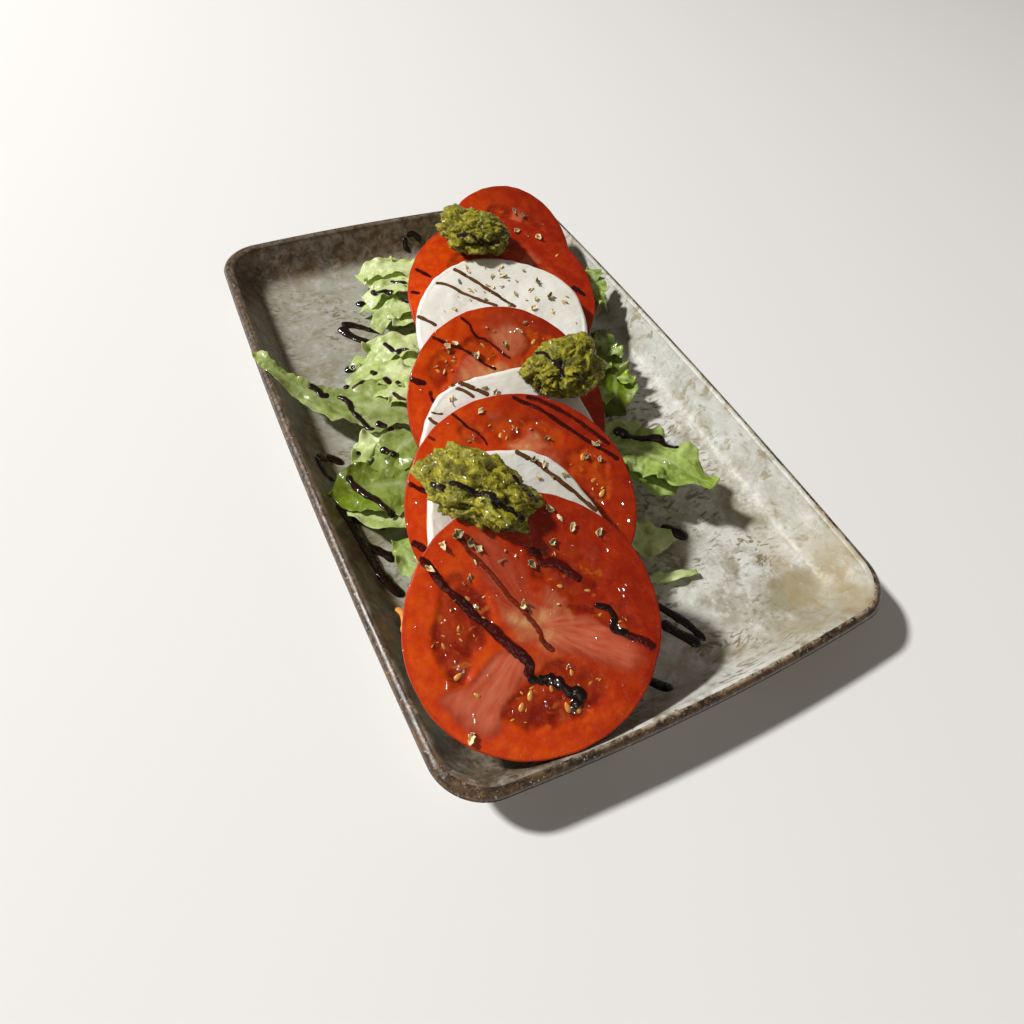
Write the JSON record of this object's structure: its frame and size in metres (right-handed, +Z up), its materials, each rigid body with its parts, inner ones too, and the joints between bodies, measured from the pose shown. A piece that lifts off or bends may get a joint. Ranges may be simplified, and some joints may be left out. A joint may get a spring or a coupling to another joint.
{
  "type": "caprese salad on a plate",
  "caption": "Row of overlapping tomato and mozzarella slices with pesto, lettuce and balsamic threads on a deep rectangular stoneware plate.",
  "frame": {"origin": "centre of the plate's footprint on the surface that it stands on", "axes": "+Z up, +Y along the plate's length towards the back end of the row of slices, +X to the right"},
  "size_m": [0.171, 0.2746, 0.0673],
  "materials": {
    "glaze": "speckled grey-white reactive glaze with a dark brown rim, glossy",
    "tomato": "wet cut tomato",
    "mozzarella": "moist white cheese, satin",
    "pesto": "coarse oily basil pesto",
    "lettuce": "crisp lettuce leaf, satin",
    "carrot": "raw carrot"
  },
  "bodies": {
    "root": {"plate": "glaze", "lettuce_bed": "lettuce", "leaf_back_left": "lettuce", "leaf_back_left_low": "lettuce", "leaf_mid_left_high": "lettuce", "leaf_long_left": "lettuce", "leaf_curl_left": "lettuce", "leaf_front_left": "lettuce", "leaf_front_small": "lettuce", "leaf_back_right": "lettuce", "leaf_mid_right": "lettuce", "leaf_bright_right": "lettuce", "leaf_pale_right": "lettuce", "leaf_frond_right": "lettuce", "carrot_shred": "carrot", "tomato_slice_1": "tomato", "tomato_slice_2": "tomato", "tomato_slice_3": "tomato", "tomato_slice_4": "tomato", "tomato_slice_5": "tomato", "mozzarella_slice_1": "mozzarella", "mozzarella_slice_2": "mozzarella", "mozzarella_slice_3": "mozzarella", "pesto_1": "pesto", "pesto_2": "pesto", "pesto_3": "pesto"}
  },
  "joints": []
}
